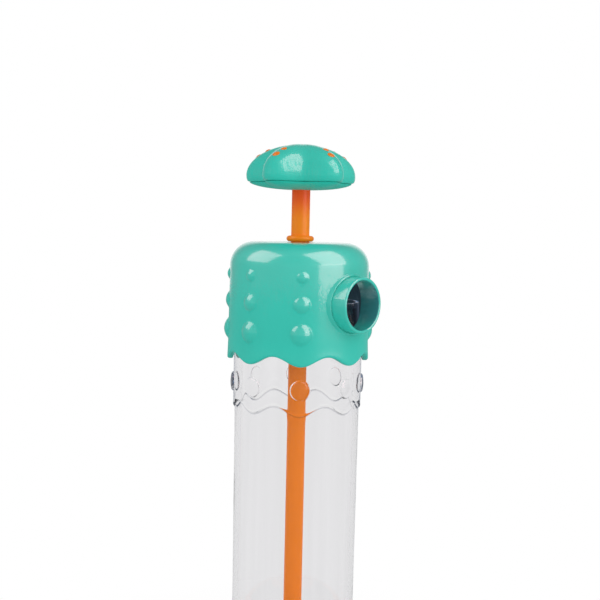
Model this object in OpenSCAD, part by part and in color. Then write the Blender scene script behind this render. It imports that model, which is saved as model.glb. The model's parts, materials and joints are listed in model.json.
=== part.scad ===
// Lift-pump water squirter: a clear barrel with a foot valve, a plunger with a
// starfish knob, and a wavy head that swivels so that its spout socket can face any way.
// Millimetres, +Z up, origin at the centre of the face that the foot stands on, spout along +X.

/* [Barrel] */
// Length of the barrel that the piston does not sweep
barrel_spare = 43.8; // [43.6:0.1:60]
// Outer diameter of the barrel just under the band
tube_d = 60; // [59:0.1:61]
// Wall of the barrel round the straight bore that the piston runs in
tube_wall = 2.8; // [2.4:0.1:4]
// Draft of the barrel's outer wall, in degrees
tube_draft = 0.3; // [0:0.05:0.4]
// How far the neck that the head turns on is stepped in
neck_step = 1.1; // [0.9:0.05:1.4]
// Length of the neck from the band to the rim
neck_length = 21; // [20:0.1:24]
// How far the neck's snap bead stands out
neck_bead = 0.8; // [0.5:0.05:0.9]
// How far the raised band stands out of the barrel
band_rise = 0.8; // [0.5:0.05:1.2]
// Length of the band down to the lowest point of its wave
band_length = 30.7; // [27:0.1:36]
// Distance from the band's upper end to its domes
band_dome_drop = 18.5; // [17:0.1:20]
// Diameter of a band dome
band_dome_d = 9.3; // [7:0.1:11]
// Height of a band dome
band_dome_h = 1.7; // [1:0.1:3]

/* [Wave] */
// Number of waves round the band and round the head's skirt
wave_count = 8; // [6:1:10]
// Height of a wave from trough to peak
wave_height = 4.4; // [2:0.1:5]

/* [Head] */
// Height of the head from the lowest point of its wave to its top
head_height = 56.1; // [54:0.1:60]
// Wall of the head under its rounded shoulder
head_wall = 2.2; // [1.8:0.1:4]
// How far the lip at the bottom of the skirt stands out
lip_flare = 0.6; // [0.3:0.1:2]
// Radius of the rounded shoulder
shoulder_r = 11.4; // [8:0.1:12]
// Gap between the band and the head's cavity
cavity_gap = 0.4; // [0.3:0.05:0.8]
// Thickness of the head's top wall
top_wall = 2.6; // [2:0.1:4]
// Diameter of the small domes
small_dome_d = 5.3; // [4:0.1:6]
// Height of the small domes
small_dome_h = 1.1; // [0.8:0.1:2]
// Distance from the head's top to the small domes
small_dome_drop = 15.5; // [14:0.1:18]
// Diameter of the medium domes
medium_dome_d = 7.9; // [6:0.1:9]
// Height of the medium domes
medium_dome_h = 1.6; // [1.2:0.1:3]
// Distance from the head's top to the medium domes
medium_dome_drop = 28; // [26:0.1:30]
// Diameter of the large domes
large_dome_d = 10; // [8:0.1:11]
// Height of the large domes
large_dome_h = 2.1; // [1.6:0.1:3.5]
// Distance from the head's top to the large domes
large_dome_drop = 41.7; // [39:0.1:43]

/* [Spout socket] */
// Distance from the head's top to the socket's axis
spout_drop = 28; // [27:0.1:31]
// How far the socket's rim stands out of the head
spout_out = 6.9; // [5:0.1:12]
// Outer diameter of the socket
spout_d = 26.1; // [25:0.1:26.5]
// Bore that a nozzle plugs into
spout_bore = 23; // [21:0.1:23.4]
// Diameter of the boss round the socket's foot
boss_d = 28.6; // [28:0.1:30]
// How far the boss's face stands out of the head
boss_out = 0.8; // [0.2:0.1:2]

/* [Gland] */
// Height of the space over the gland's flange
gland_space = 8.2; // [7.5:0.1:10]
// Thickness of the gland's flange
gland_flange_t = 2.5; // [2:0.1:4]
// Diameter of the gland's flange
gland_flange_d = 34; // [32:0.5:40]
// Radius of the circle of gland screws
gland_screw_r = 13; // [12.5:0.1:13.5]
// Diameter of a gland screw
gland_screw_d = 2.6; // [2:0.1:3]
// Height of the rod seal
rod_seal_h = 2; // [1.5:0.1:2.5]
// Thickness of the washer under the rod seal
gland_washer_t = 0.8; // [0.5:0.1:1.2]

/* [Rod] */
// Diameter of the plunger's rod
rod_d = 8.8; // [7:0.1:9]
// Diameter of the collar that stops the rod on the head
collar_d = 13.2; // [12:0.1:15]
// Height of the collar
collar_h = 2.75; // [2:0.05:3.5]
// Stroke of the plunger
stroke = 145; // [100:1:180]

/* [Knob] */
// Clear height between the head and the knob
knob_gap = 24.8; // [20:0.1:35]
// Height of the knob
knob_height = 21.9; // [20:0.1:26]
// Mean radius of the starfish outline
knob_r = 23.3; // [21:0.1:26]
// How far the arms stand out of the mean radius, and the valleys in
knob_arm = 4.2; // [2:0.1:5]
// Number of arms
arm_count = 5; // [5:1:6]
// Direction of the first arm, in degrees from the spout
arm_turn = -9; // [-36:1:36]
// Distance from the knob's top to its widest level
widest_drop = 15; // [12:0.1:16]
// Distance from the knob's top to the seam between its shells
seam_drop = 18.4; // [17.5:0.1:19]
// Open height of the seam
seam_gap = 0.4; // [0.2:0.05:0.6]
// Wall of the knob's shells
knob_wall = 2; // [1.6:0.1:2.4]
// Diameter of the larger dots
big_dot_d = 3.5; // [3:0.1:4]
// Distance of the larger dots from the knob's axis
big_dot_r = 21.7; // [20:0.1:22.5]
// Diameter of the smaller dots
small_dot_d = 2.9; // [2.4:0.1:3.2]
// Distance of the smaller dots from the knob's axis
small_dot_r = 16.8; // [15.8:0.1:17.5]
// Turn of the smaller dots from the arm's middle line, in degrees
small_dot_turn = 3; // [-5:0.5:5]
// How far a dot's crown stands out of the knob
dot_rise = 0.5; // [0.2:0.1:0.8]

/* [Piston] */
// Height of the piston
piston_height = 20; // [18:0.5:22]
// Gap between the resting piston and the foot valve's stop
piston_rest_gap = 3.5; // [2:0.1:8]
// Height of the seal's groove
seal_h = 6; // [4:0.1:7]
// Depth of the seal's groove
seal_depth = 3; // [2:0.1:4]
// Diameter of the piston's valve disc
piston_disc_d = 40; // [38:0.5:44]
// Thickness of the piston's valve disc
piston_disc_t = 1.6; // [1:0.1:2]
// Lift of the piston's valve disc
piston_lift = 2; // [1:0.1:3]
// Number of ports through the piston, and through the foot
port_count = 6; // [4:1:6]
// Diameter of a port
port_d = 6.4; // [4:0.1:7]

/* [Foot] */
// Height of the open skirt under the valve deck
skirt_height = 12; // [10:0.5:20]
// Thickness of the valve deck
deck_t = 3; // [2:0.1:5]
// Height of the socket that holds the barrel
foot_socket_h = 17; // [12:0.5:24]
// How far the foot's upper edge stands out of the barrel
foot_rim = 2.5; // [2:0.1:5]
// How far the foot flares from its upper edge to the bottom
foot_flare = 1; // [0:0.1:3]
// Wall of the foot's skirt
foot_wall = 3.4; // [2.5:0.1:4]
// Thickness of the gasket under the barrel
gasket_t = 1.5; // [1:0.1:3]
// Width of an intake slot
slot_w = 14; // [8:0.5:18]
// Height of an intake slot
slot_h = 6; // [5:0.5:8]
// Height of the closed ring under the intake slots
slot_sill = 2; // [1.5:0.1:3]
// Diameter of the foot's valve disc
foot_disc_d = 36; // [34:0.5:42]
// Thickness of the foot's valve disc
foot_disc_t = 2; // [1:0.1:3]
// Lift of the foot's valve disc
foot_lift = 2.5; // [1:0.1:4]
// Diameter of the stem that the foot's valve disc rides on
stem_d = 6; // [5:0.1:8]
// Diameter of the stem's head
stem_head_d = 16; // [14:0.5:20]
// Thickness of the stem's head
stem_head_t = 2; // [1.5:0.1:3]

/* [Fits] */
// Radial clearance of a running fit
run_fit = 0.08; // [0.03:0.01:0.1]
// Radial clearance of pieces that are pressed or bonded together
seat_fit = 0.05; // [0.02:0.01:0.08]
// Gap between separate moving pieces
body_gap = 0.3; // [0.2:0.05:0.5]

/* [Hidden] */
$fn = 64;

teal = [0.17, 0.70, 0.64];
orange = [0.89, 0.51, 0.16];
clear = [0.86, 0.90, 0.93, 0.45];
rubber = [0.22, 0.23, 0.25];
white = [0.93, 0.93, 0.91];
steel = [0.72, 0.73, 0.75];

// A cutter runs this far past the faces that it cuts
over = 1;

// Heights of the barrel
deck_z = skirt_height + deck_t;
tube_z = deck_z + gasket_t;
tube_length = stroke + barrel_spare;
rim_z = tube_z + tube_length;
band_top = rim_z - neck_length;
band_low = band_top - band_length;
tube_r = tube_d / 2;
bore_r = tube_r - tube_wall;
neck_r = tube_r - neck_step;
band_r = tube_r + band_rise;
tube_foot_r = tube_r - (band_low - tube_z) * tan(tube_draft);

// Heights of the head, whose socket's axis is level with the barrel's rim
spout_z = rim_z;
head_top = spout_z + spout_drop;
skirt_low = head_top - head_height;
ceiling_z = head_top - top_wall;
cavity_r = band_r + cavity_gap;
head_r = cavity_r + head_wall;
lip_r = head_r + lip_flare;
lip_h = 9;
// The head's wall is this much wider over the lip than under the shoulder
wall_flare = 0.3;
// The cavity is this much narrower inside the shoulder
cavity_step = 0.4;
spout_r = spout_d / 2;
spout_reach = head_r + spout_out;
boss_reach = head_r + boss_out;
column_step = 360 / wave_count;
// A skirt or band ends this far over its wave's lowest point, in a small flat
wave_flat = 0.1;

// The ring that snaps over the neck's bead, and the seal on it
ring_low = band_top + 2 * body_gap;
ring_h = 7.4;
bead_z = ring_low + ring_h / 2;
bead_r = neck_r + neck_bead;
bead_h = 2;
neck_seal_h = 1.3;

// The gland under the head's top wall
rod_r = rod_d / 2;
gland_z = ceiling_z - gland_space;
rod_seal_w = 2.3;
seal_pocket_r = rod_r + rod_seal_w;
seal_boss_wall = 1.8;
seal_boss_r = seal_pocket_r + seal_boss_wall;
seal_boss_h = 4.6;
seal_top = ceiling_z - body_gap;
seal_low_z = seal_top - rod_seal_h;
screw_boss_r = 3;
gland_screw_l = 9;

// The plunger's rod
piston_low = deck_z + foot_disc_t + foot_lift + stem_head_t + piston_rest_gap;
piston_top = piston_low + piston_height;
stop_low = piston_top + piston_disc_t + piston_lift;
stop_t = 2.4;
stop_top = stop_low + stop_t;
gland_low = stop_top + stroke + body_gap;
stop_ledge = 5.7;
stop_r = rod_r + stop_ledge;
guide_step = 0.7;
guide_r = rod_r + guide_step;
spigot_step = 1.1;
spigot_r = rod_r - spigot_step;
// Depth of the piston's pocket that the spigot leaves for the washer and the screw's head
spigot_room = 5;
spigot_l = piston_height - spigot_room;
collar_z = head_top + body_gap;
screw_d = 3.5;
screw_head_d = 6.6;
screw_head_h = 2.2;
screw_l = 12;
washer_d = 12;
washer_t = 1;

// The knob
knob_low = head_top + knob_gap;
knob_top = knob_low + knob_height;
widest_z = knob_top - widest_drop;
seam_z = knob_top - seam_drop;
knob_boss_wall = 3.6;
knob_boss_r = rod_r + knob_boss_wall;
// Length of the rod's end in the knob, and the boss's thickness over it
rod_grip = 10;
rod_end = knob_low + rod_grip;
knob_boss_cap = 3;
knob_boss_top = rod_end + knob_boss_cap;
knob_steps = 75;
// How full the belly's curve is, from an ellipse at 2 upwards
belly_power = 3.2;
// The tongue of the lower shell that stands inside the seam
tongue_gap = 0.15;
tongue_t = 1.2;
tongue_h = 1.8;
tongue_r = knob_wall + tongue_gap;
floor_inset = tongue_r + tongue_t;

// The piston and its seal
piston_gap = 0.5;
piston_r = bore_r - piston_gap;
piston_port_r = 13.5;
seal_low = piston_low + (piston_height - seal_h) / 2;
piston_pocket_h = spigot_room + body_gap;

// The foot
foot_top_r = tube_r + foot_rim;
foot_r = foot_top_r + foot_flare;
foot_top = deck_z + foot_socket_h;
foot_round = 1.4;
foot_port_r = 10.5;
slot_count = 4;

// A flat ring on the Z axis
module ring(outer_r, inner_r, low, height) {
    translate([0, 0, low])
        difference() {
            cylinder(r = outer_r, h = height);
            translate([0, 0, -over])
                cylinder(r = inner_r, h = height + 2 * over);
        }
}

// A sphere whose cap has this diameter and height on a wall of radius wall_r
module dome(wall_r, z, diameter, height) {
    sphere_r = (diameter * diameter / 4 + height * height) / (2 * height);
    translate([wall_r + height - sphere_r, 0, z])
        sphere(r = sphere_r);
}

// Everything under a wavy line round a wall, with its troughs on the columns of domes
module wave_cut(wall_r, low) {
    pitch = 2 * wall_r * sin(column_step / 2);
    steps = 20;
    depth = 12;
    for (k = [0 : wave_count - 1])
        rotate((k + 0.5) * column_step)
            translate([wall_r - depth / 2, 0, 0])
                rotate([90, 0, 90])
                    linear_extrude(depth)
                        polygon(concat(
                            [[-pitch / 2, low - over], [pitch / 2, low - over]],
                            [for (i = [steps : -1 : 0])
                                let (x = pitch * (i / steps - 0.5))
                                [x, low + wave_height * (0.5 + 0.5 * cos(360 * x / pitch))]]));
}

// A screw with its head down at z = 0 and its shank up
module screw_up(shank_d, length, head_d, head_h) {
    translate([0, 0, -head_h])
        cylinder(d = head_d, h = head_h);
    cylinder(d = shank_d, h = length);
}

// Radius of the starfish outline in a direction
function star_r(a, inset) = knob_r - inset + knob_arm * cos(arm_count * (a - arm_turn));

// Share of the outline that the knob has over its widest level, and under it
function crown_share(z, rise) = sqrt(max(0, 1 - pow((z - widest_z) / rise, 2)));
function belly_share(z, fall) = sqrt(max(0, 1 - pow((widest_z - z) / fall, belly_power)));
function knob_share(z, inset) =
    z > widest_z ? crown_share(z, widest_drop - inset)
                 : belly_share(z, knob_height - widest_drop - inset);

// A closed solid through starfish outlines, each a [height, inset], from its lower face to its upper one
module star_loft(rings) {
    points = [for (ring = rings) for (i = [0 : knob_steps - 1])
        let (a = 360 * i / knob_steps, r = star_r(a, ring[1]) * knob_share(ring[0], ring[1]))
        [r * cos(a), r * sin(a), ring[0]]];
    sides = [for (k = [0 : len(rings) - 2]) for (i = [0 : knob_steps - 1])
        let (j = (i + 1) % knob_steps, p = k * knob_steps, q = p + knob_steps)
        each [[p + i, q + i, q + j], [p + i, q + j, p + j]]];
    lower_face = [for (i = [0 : knob_steps - 1]) i];
    upper_face = [for (i = [knob_steps - 1 : -1 : 0]) (len(rings) - 1) * knob_steps + i];
    polyhedron(points, concat(sides, [lower_face], [upper_face]), convexity = 6);
}

// Outlines of the crown from over the widest level up, closer together near the top
function crown_rings(inset) =
    [for (a = [12 : 12 : 84]) [widest_z + (widest_drop - inset) * sin(a), inset]];
// Outlines of the belly at shares of its depth, from the bottom up to a ceiling
function belly_rings(inset, shares, ceiling) =
    [for (t = shares)
        let (z = widest_z - (knob_height - widest_drop - inset) * t)
        if (z < ceiling - body_gap) [z, inset]];
// A list in the opposite order
function backwards(list) = [for (i = [len(list) - 1 : -1 : 0]) list[i]];

// Places its children on the crown of an arm at a distance from the axis, square to the surface
module on_arm(arm, distance, turn) {
    tip_r = star_r(arm_turn + turn, 0);
    share = distance / tip_r;
    rise = widest_drop * sqrt(1 - share * share);
    lean = atan2(distance / (tip_r * tip_r), rise / (widest_drop * widest_drop));
    rotate(arm_turn + turn + arm * 360 / arm_count)
        translate([distance, 0, widest_z + rise])
            rotate([0, lean, 0])
                children();
}

// Places its children on every arm
module on_arms(distance, turn) {
    for (arm = [0 : arm_count - 1])
        on_arm(arm, distance, turn)
            children();
}

// Places its children round a circle on the Z axis
module around(count, distance) {
    for (k = [0 : count - 1])
        rotate(k * 360 / count)
            translate([distance, 0, 0])
                children();
}

// Foot: open skirt with intake slots, valve deck, and the socket that holds the barrel
module base_foot() {
    color(teal)
        difference() {
            rotate_extrude()
                union() {
                    polygon([[0, 0], [foot_r, 0], [foot_top_r, foot_top - foot_round],
                        [foot_top_r - foot_round, foot_top - foot_round],
                        [foot_top_r - foot_round, foot_top], [0, foot_top]]);
                    translate([foot_top_r - foot_round, foot_top - foot_round])
                        circle(r = foot_round);
                }
            translate([0, 0, -over])
                cylinder(r = foot_r - foot_wall, h = skirt_height + over);
            translate([0, 0, deck_z])
                cylinder(r1 = tube_foot_r + seat_fit, r2 = tube_foot_r + seat_fit
                    + (foot_socket_h + over) * tan(tube_draft), h = foot_socket_h + over);
            for (k = [0 : slot_count - 1])
                rotate(k * 360 / slot_count)
                    translate([foot_r - foot_wall - over, -slot_w / 2, slot_sill])
                        cube([foot_wall + 2 * over, slot_w, slot_h]);
            around(port_count, foot_port_r)
                translate([0, 0, skirt_height - over])
                    cylinder(d = port_d, h = deck_t + 2 * over);
            translate([0, 0, skirt_height - over])
                cylinder(d = stem_d + 2 * seat_fit, h = deck_t + 2 * over);
        }
}

// Gasket between the barrel's lower end and the valve deck
module base_gasket() {
    color(rubber)
        ring(tube_foot_r - seat_fit, bore_r, deck_z, gasket_t);
}

// Clear barrel with its neck, snap bead, wavy band and domes
module clear_tube() {
    color(clear)
        difference() {
            union() {
                translate([0, 0, tube_z])
                    cylinder(r1 = tube_foot_r, r2 = tube_r, h = band_low - tube_z);
                translate([0, 0, band_low])
                    cylinder(r = tube_r, h = band_length);
                difference() {
                    ring(band_r, bore_r + over, band_low + wave_flat, band_length - wave_flat);
                    wave_cut(band_r, band_low);
                }
                for (k = [0 : wave_count - 1])
                    rotate(k * column_step)
                        dome(band_r, band_top - band_dome_drop, band_dome_d, band_dome_h);
                translate([0, 0, band_top - over])
                    cylinder(r = neck_r, h = neck_length + over);
                rotate_extrude()
                    polygon([[neck_r - over, bead_z - bead_h / 2 - neck_bead],
                        [neck_r, bead_z - bead_h / 2 - neck_bead], [bead_r, bead_z - bead_h / 2],
                        [bead_r, bead_z + bead_h / 2], [neck_r, bead_z + bead_h / 2 + neck_bead],
                        [neck_r - over, bead_z + bead_h / 2 + neck_bead]]);
            }
            translate([0, 0, tube_z - over])
                cylinder(r = bore_r, h = tube_length + 2 * over);
        }
}

// Stem with a broad head that guides the foot's valve disc and limits its lift
module foot_valve_stop() {
    color(white)
        union() {
            translate([0, 0, skirt_height])
                cylinder(d = stem_d, h = deck_t + foot_disc_t + foot_lift + stem_head_t / 2);
            translate([0, 0, deck_z + foot_disc_t + foot_lift])
                cylinder(d = stem_head_d, h = stem_head_t);
        }
}

// Loose disc that closes the foot's ports when the plunger goes down
module foot_valve_disc() {
    color(rubber)
        ring(foot_disc_d / 2, stem_d / 2 + run_fit, deck_z, foot_disc_t);
}

// Radius of the head's outer wall at a height
function wall_r(z) =
    let (lip_top = skirt_low + lip_h, shoulder_z = head_top - shoulder_r)
    z < lip_top ? lip_r - (lip_r - head_r - wall_flare) * (z - skirt_low) / lip_h
                : head_r + wall_flare * (shoulder_z - z) / (shoulder_z - lip_top);

// Half outline of a cap with a rounded shoulder
module cap_outline(low, lower_r, mid_z, upper_r, top, corner) {
    union() {
        polygon([[0, low], [lower_r, low], [wall_r(mid_z) + upper_r - head_r, mid_z],
            [upper_r, top - corner], [0, top - corner]]);
        square_top = top - corner - over;
        translate([0, square_top])
            square([upper_r - corner, top - square_top]);
        translate([upper_r - corner, top - corner])
            circle(r = corner);
    }
}

// Head: shouldered cap with a wavy skirt, columns of domes and the socket's boss
module head_shell() {
    color(teal)
        difference() {
            union() {
                difference() {
                    union() {
                        rotate_extrude()
                            cap_outline(skirt_low + wave_flat, lip_r, skirt_low + lip_h,
                                head_r, head_top, shoulder_r);
                        for (k = [1 : wave_count - 1])
                            rotate(k * column_step)
                                dome_column();
                        translate([0, 0, spout_z])
                            rotate([0, 90, 0])
                                cylinder(d = boss_d, h = boss_reach);
                    }
                    translate([0, 0, skirt_low - over])
                        cylinder(r = cavity_r, h = ceiling_z - shoulder_r - skirt_low + over);
                    translate([0, 0, ceiling_z - shoulder_r - over])
                        cylinder(r = cavity_r - cavity_step, h = over + shoulder_r / 2);
                    translate([0, 0, ceiling_z - shoulder_r])
                        cylinder(r = cavity_r - shoulder_r / 2, h = shoulder_r);
                    wave_cut(lip_r, skirt_low);
                }
                around(3, gland_screw_r)
                    translate([0, 0, gland_z])
                        cylinder(r = screw_boss_r, h = gland_space + over);
                translate([0, 0, ceiling_z - seal_boss_h])
                    cylinder(r = seal_boss_r, h = seal_boss_h + over);
            }
            translate([0, 0, spout_z])
                rotate([0, 90, 0])
                    cylinder(r = spout_r + seat_fit, h = spout_reach);
            translate([0, 0, ceiling_z - seal_boss_h - over])
                cylinder(r = seal_pocket_r, h = seal_boss_h + over - body_gap);
            translate([0, 0, ceiling_z - seal_boss_h - over])
                cylinder(r = rod_r + body_gap, h = seal_boss_h + top_wall + 2 * over);
            around(3, gland_screw_r)
                translate([0, 0, gland_z - over])
                    cylinder(d = gland_screw_d + 2 * seat_fit, h = gland_screw_l - gland_flange_t + 2 * over);
        }
}

// One column of three domes on the head
module dome_column() {
    small_z = head_top - small_dome_drop;
    medium_z = head_top - medium_dome_drop;
    large_z = head_top - large_dome_drop;
    dome(wall_r(small_z), small_z, small_dome_d, small_dome_h);
    dome(wall_r(medium_z), medium_z, medium_dome_d, medium_dome_h);
    dome(wall_r(large_z), large_z, large_dome_d, large_dome_h);
}

// Socket that a nozzle plugs into, with a rounded rim, trimmed to the head's cavity
module spout_socket() {
    wall = (spout_d - spout_bore) / 2;
    color(teal)
        difference() {
            translate([0, 0, spout_z])
                rotate([0, 90, 0])
                    rotate_extrude()
                        union() {
                            translate([spout_bore / 2, cavity_r / 2])
                                square([wall, spout_reach - wall / 2 - cavity_r / 2]);
                            translate([spout_bore / 2 + wall / 2, spout_reach - wall / 2])
                                circle(d = wall);
                        }
            translate([0, 0, spout_z - spout_d])
                cylinder(r = cavity_r, h = 2 * spout_d);
        }
}

// Ring bonded into the head, with the groove that turns on the neck's bead
module swivel_ring() {
    groove_h = bead_h + 2 * neck_bead + 2 * body_gap;
    color(white)
        difference() {
            ring(cavity_r - seat_fit, neck_r + run_fit, ring_low, ring_h);
            translate([0, 0, bead_z - groove_h / 2])
                cylinder(r = bead_r + body_gap, h = groove_h);
        }
}

// Soft ring that seals the head on the neck
module neck_seal() {
    color(rubber)
        ring(cavity_r - seat_fit, neck_r + run_fit, ring_low + ring_h, neck_seal_h);
}

// Gland under the head's top wall: guides the rod, and its lower end stops the plunger
module rod_gland() {
    guide_wall = 2.4;
    collar_top = seal_low_z - gland_washer_t;
    color(white)
        difference() {
            union() {
                translate([0, 0, gland_low])
                    cylinder(r = rod_r + guide_wall, h = gland_z - gland_low);
                translate([0, 0, gland_z - gland_flange_t])
                    cylinder(d = gland_flange_d, h = gland_flange_t);
                translate([0, 0, gland_z - over])
                    cylinder(r = seal_pocket_r - seat_fit, h = collar_top - gland_z + over);
            }
            translate([0, 0, gland_low - over])
                cylinder(r = rod_r + run_fit, h = collar_top - gland_low + 2 * over);
            around(3, gland_screw_r)
                translate([0, 0, gland_z - gland_flange_t - over])
                    cylinder(d = gland_screw_d + 2 * seat_fit, h = gland_flange_t + 2 * over);
        }
}

// Soft ring that wipes the rod
module rod_seal() {
    color(rubber)
        ring(seal_pocket_r - seat_fit, rod_r + run_fit, seal_low_z, rod_seal_h);
}

// Washer that holds the rod seal up
module gland_washer() {
    color(steel)
        ring(seal_pocket_r - seat_fit, rod_r + body_gap, seal_low_z - gland_washer_t, gland_washer_t);
}

// Three screws that hold the gland to the bosses in the head
module gland_screws() {
    color(steel)
        around(3, gland_screw_r)
            translate([0, 0, gland_z - gland_flange_t])
                screw_up(gland_screw_d, gland_screw_l, 2 * gland_screw_d, 0.7 * gland_screw_d);
}

// Rod with its collar, valve stop, valve guide and spigot
module pump_rod() {
    color(orange)
        difference() {
            rotate_extrude()
                union() {
                    translate([0, piston_top - spigot_l])
                        square([spigot_r, spigot_l + over]);
                    translate([0, piston_top])
                        square([guide_r, stop_low - piston_top + over]);
                    translate([0, stop_low])
                        square([stop_r, stop_t]);
                    translate([0, stop_low])
                        square([rod_r, rod_end - stop_low]);
                    translate([0, collar_z])
                        square([collar_d / 2 - collar_h / 2, collar_h]);
                    translate([collar_d / 2 - collar_h / 2, collar_z + collar_h / 2])
                        circle(d = collar_h);
                }
            translate([0, 0, rod_end - screw_l])
                cylinder(d = screw_d + 2 * seat_fit, h = screw_l + over);
            translate([0, 0, piston_top - spigot_l - over])
                cylinder(d = screw_d + 2 * seat_fit, h = screw_l + over);
        }
}

// Lower shell of the starfish knob, with the boss that takes the rod's end and a tongue inside the seam
module knob_lower_shell() {
    tongue_top = seam_z + tongue_h;
    outside = belly_rings(0, [0.995, 0.96, 0.9, 0.82, 0.7, 0.55], seam_z);
    tongue = [[seam_z, 0], [seam_z, tongue_r], [tongue_top, tongue_r], [tongue_top, floor_inset]];
    inside = belly_rings(floor_inset, [0.995, 0.89, 0.75, 0.5], tongue_top);
    color(teal)
        difference() {
            union() {
                star_loft(concat(outside, tongue, backwards(inside)));
                translate([0, 0, knob_low + knob_wall / 2])
                    cylinder(r = knob_boss_r, h = knob_boss_top - knob_low - knob_wall / 2);
            }
            translate([0, 0, knob_low - over])
                cylinder(r = rod_r + seat_fit, h = rod_end - knob_low + over);
            translate([0, 0, knob_low])
                cylinder(d = screw_d + 2 * seat_fit, h = knob_boss_top - knob_low + over);
        }
}

// Upper shell of the starfish knob, with the sleeve that grips the lower shell's boss
module knob_upper_shell() {
    sleeve_wall = 2;
    shell_low = seam_z + seam_gap;
    sleeve_r = knob_boss_r + seat_fit;
    sleeve_low = shell_low + over;
    sleeve_h = knob_top - 1.2 * knob_wall - sleeve_low;
    lip_middle = (shell_low + widest_z) / 2;
    inner_lip = [[widest_z, knob_wall], [lip_middle, knob_wall], [shell_low, knob_wall]];
    outer_lip = [[shell_low, 0], [lip_middle, 0], [widest_z, 0]];
    color(teal)
        difference() {
            union() {
                star_loft(concat(backwards(crown_rings(knob_wall)), inner_lip, outer_lip, crown_rings(0)));
                ring(sleeve_r + sleeve_wall, sleeve_r, sleeve_low, sleeve_h);
            }
            on_arms(big_dot_r, 0)
                cylinder(d = big_dot_d + 2 * seat_fit, h = 4 * knob_wall, center = true);
            on_arms(small_dot_r, small_dot_turn)
                cylinder(d = small_dot_d + 2 * seat_fit, h = 4 * knob_wall, center = true);
        }
}

// A dot's peg, with a crown that stands out of the knob
module dot(diameter) {
    crown_r = (diameter * diameter / 4 + dot_rise * dot_rise) / (2 * dot_rise);
    intersection() {
        translate([0, 0, -knob_wall])
            cylinder(d = diameter, h = knob_wall + dot_rise + over);
        translate([0, 0, dot_rise - crown_r])
            sphere(r = crown_r);
    }
}

// Coloured dots pressed into the arms
module knob_dots() {
    color(orange)
        union() {
            on_arms(big_dot_r, 0)
                dot(big_dot_d);
            on_arms(small_dot_r, small_dot_turn)
                dot(small_dot_d);
        }
}

// Screw that holds the knob on the rod
module knob_screw() {
    color(steel)
        translate([0, 0, knob_boss_top])
            mirror([0, 0, 1])
                screw_up(screw_d, screw_l, screw_head_d, screw_head_h);
}

// Piston with the groove for its seal, its ports and a pocket for the screw
module piston_body() {
    color(orange)
        difference() {
            translate([0, 0, piston_low])
                cylinder(r = piston_r, h = piston_height);
            ring(bore_r, piston_r - seal_depth, seal_low, seal_h);
            around(port_count, piston_port_r)
                translate([0, 0, piston_low - over])
                    cylinder(d = port_d, h = piston_height + 2 * over);
            translate([0, 0, piston_low - over])
                cylinder(r = spigot_r + run_fit, h = piston_height + 2 * over);
            translate([0, 0, piston_low - over])
                cylinder(d = washer_d + 2 * body_gap, h = piston_pocket_h + over);
        }
}

// Soft ring that seals the piston in the bore
module piston_seal() {
    color(rubber)
        ring(bore_r - seat_fit, piston_r - seal_depth + seat_fit, seal_low + seat_fit, seal_h - 2 * seat_fit);
}

// Loose disc that closes the piston's ports when the plunger is pulled up
module piston_valve_disc() {
    color(rubber)
        ring(piston_disc_d / 2, guide_r + run_fit, piston_top, piston_disc_t);
}

// Washer that carries the piston on the rod's spigot
module piston_washer() {
    color(steel)
        ring(washer_d / 2, screw_d / 2 + seat_fit, piston_top - spigot_l - washer_t, washer_t);
}

// Screw in the rod's spigot
module piston_screw() {
    color(steel)
        translate([0, 0, piston_top - spigot_l - washer_t])
            screw_up(screw_d, screw_l, screw_head_d, screw_head_h);
}

base_foot();
base_gasket();
clear_tube();
foot_valve_stop();
foot_valve_disc();
head_shell();
spout_socket();
swivel_ring();
neck_seal();
rod_gland();
rod_seal();
gland_washer();
gland_screws();
pump_rod();
knob_lower_shell();
knob_upper_shell();
knob_dots();
knob_screw();
piston_body();
piston_seal();
piston_valve_disc();
piston_washer();
piston_screw();
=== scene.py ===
"""Visual model of a lift-pump water squirter.

A clear barrel stands on a valve foot, a wavy head with a spout socket turns on its neck, and a rod
with a starfish knob drives the piston. Sizes in the classes are millimetres and angles degrees;
Blender objects are in metres.
"""

from __future__ import annotations

import json
import logging
import math
from dataclasses import dataclass
from enum import Enum
from typing import Any, Mapping, Sequence, Union

import bpy
import numpy as np
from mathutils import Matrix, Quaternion, Vector

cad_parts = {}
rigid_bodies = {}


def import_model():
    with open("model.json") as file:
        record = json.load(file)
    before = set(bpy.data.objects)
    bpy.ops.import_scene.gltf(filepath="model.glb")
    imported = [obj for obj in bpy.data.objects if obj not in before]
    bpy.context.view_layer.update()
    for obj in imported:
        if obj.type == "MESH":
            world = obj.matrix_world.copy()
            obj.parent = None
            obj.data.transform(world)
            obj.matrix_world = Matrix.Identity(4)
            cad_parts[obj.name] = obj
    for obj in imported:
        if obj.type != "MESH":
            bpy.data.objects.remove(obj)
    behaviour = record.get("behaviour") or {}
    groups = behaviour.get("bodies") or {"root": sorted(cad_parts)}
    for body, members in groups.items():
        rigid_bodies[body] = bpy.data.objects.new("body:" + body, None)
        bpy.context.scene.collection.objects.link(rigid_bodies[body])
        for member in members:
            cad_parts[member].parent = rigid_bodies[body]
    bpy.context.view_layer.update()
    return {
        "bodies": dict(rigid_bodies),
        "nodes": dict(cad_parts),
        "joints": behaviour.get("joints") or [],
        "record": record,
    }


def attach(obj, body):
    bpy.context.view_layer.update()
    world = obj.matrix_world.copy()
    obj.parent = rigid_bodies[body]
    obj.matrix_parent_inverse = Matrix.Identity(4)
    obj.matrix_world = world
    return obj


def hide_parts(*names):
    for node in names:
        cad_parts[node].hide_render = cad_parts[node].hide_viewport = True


LOG = logging.getLogger("squirter")
MM = 0.001
SHARP = 38.0
Rings = np.ndarray
Pair = tuple[float, float]
Triple = tuple[float, float, float]
Colour = tuple[float, float, float]
BLACK: Colour = (0.0, 0.0, 0.0)
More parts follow.
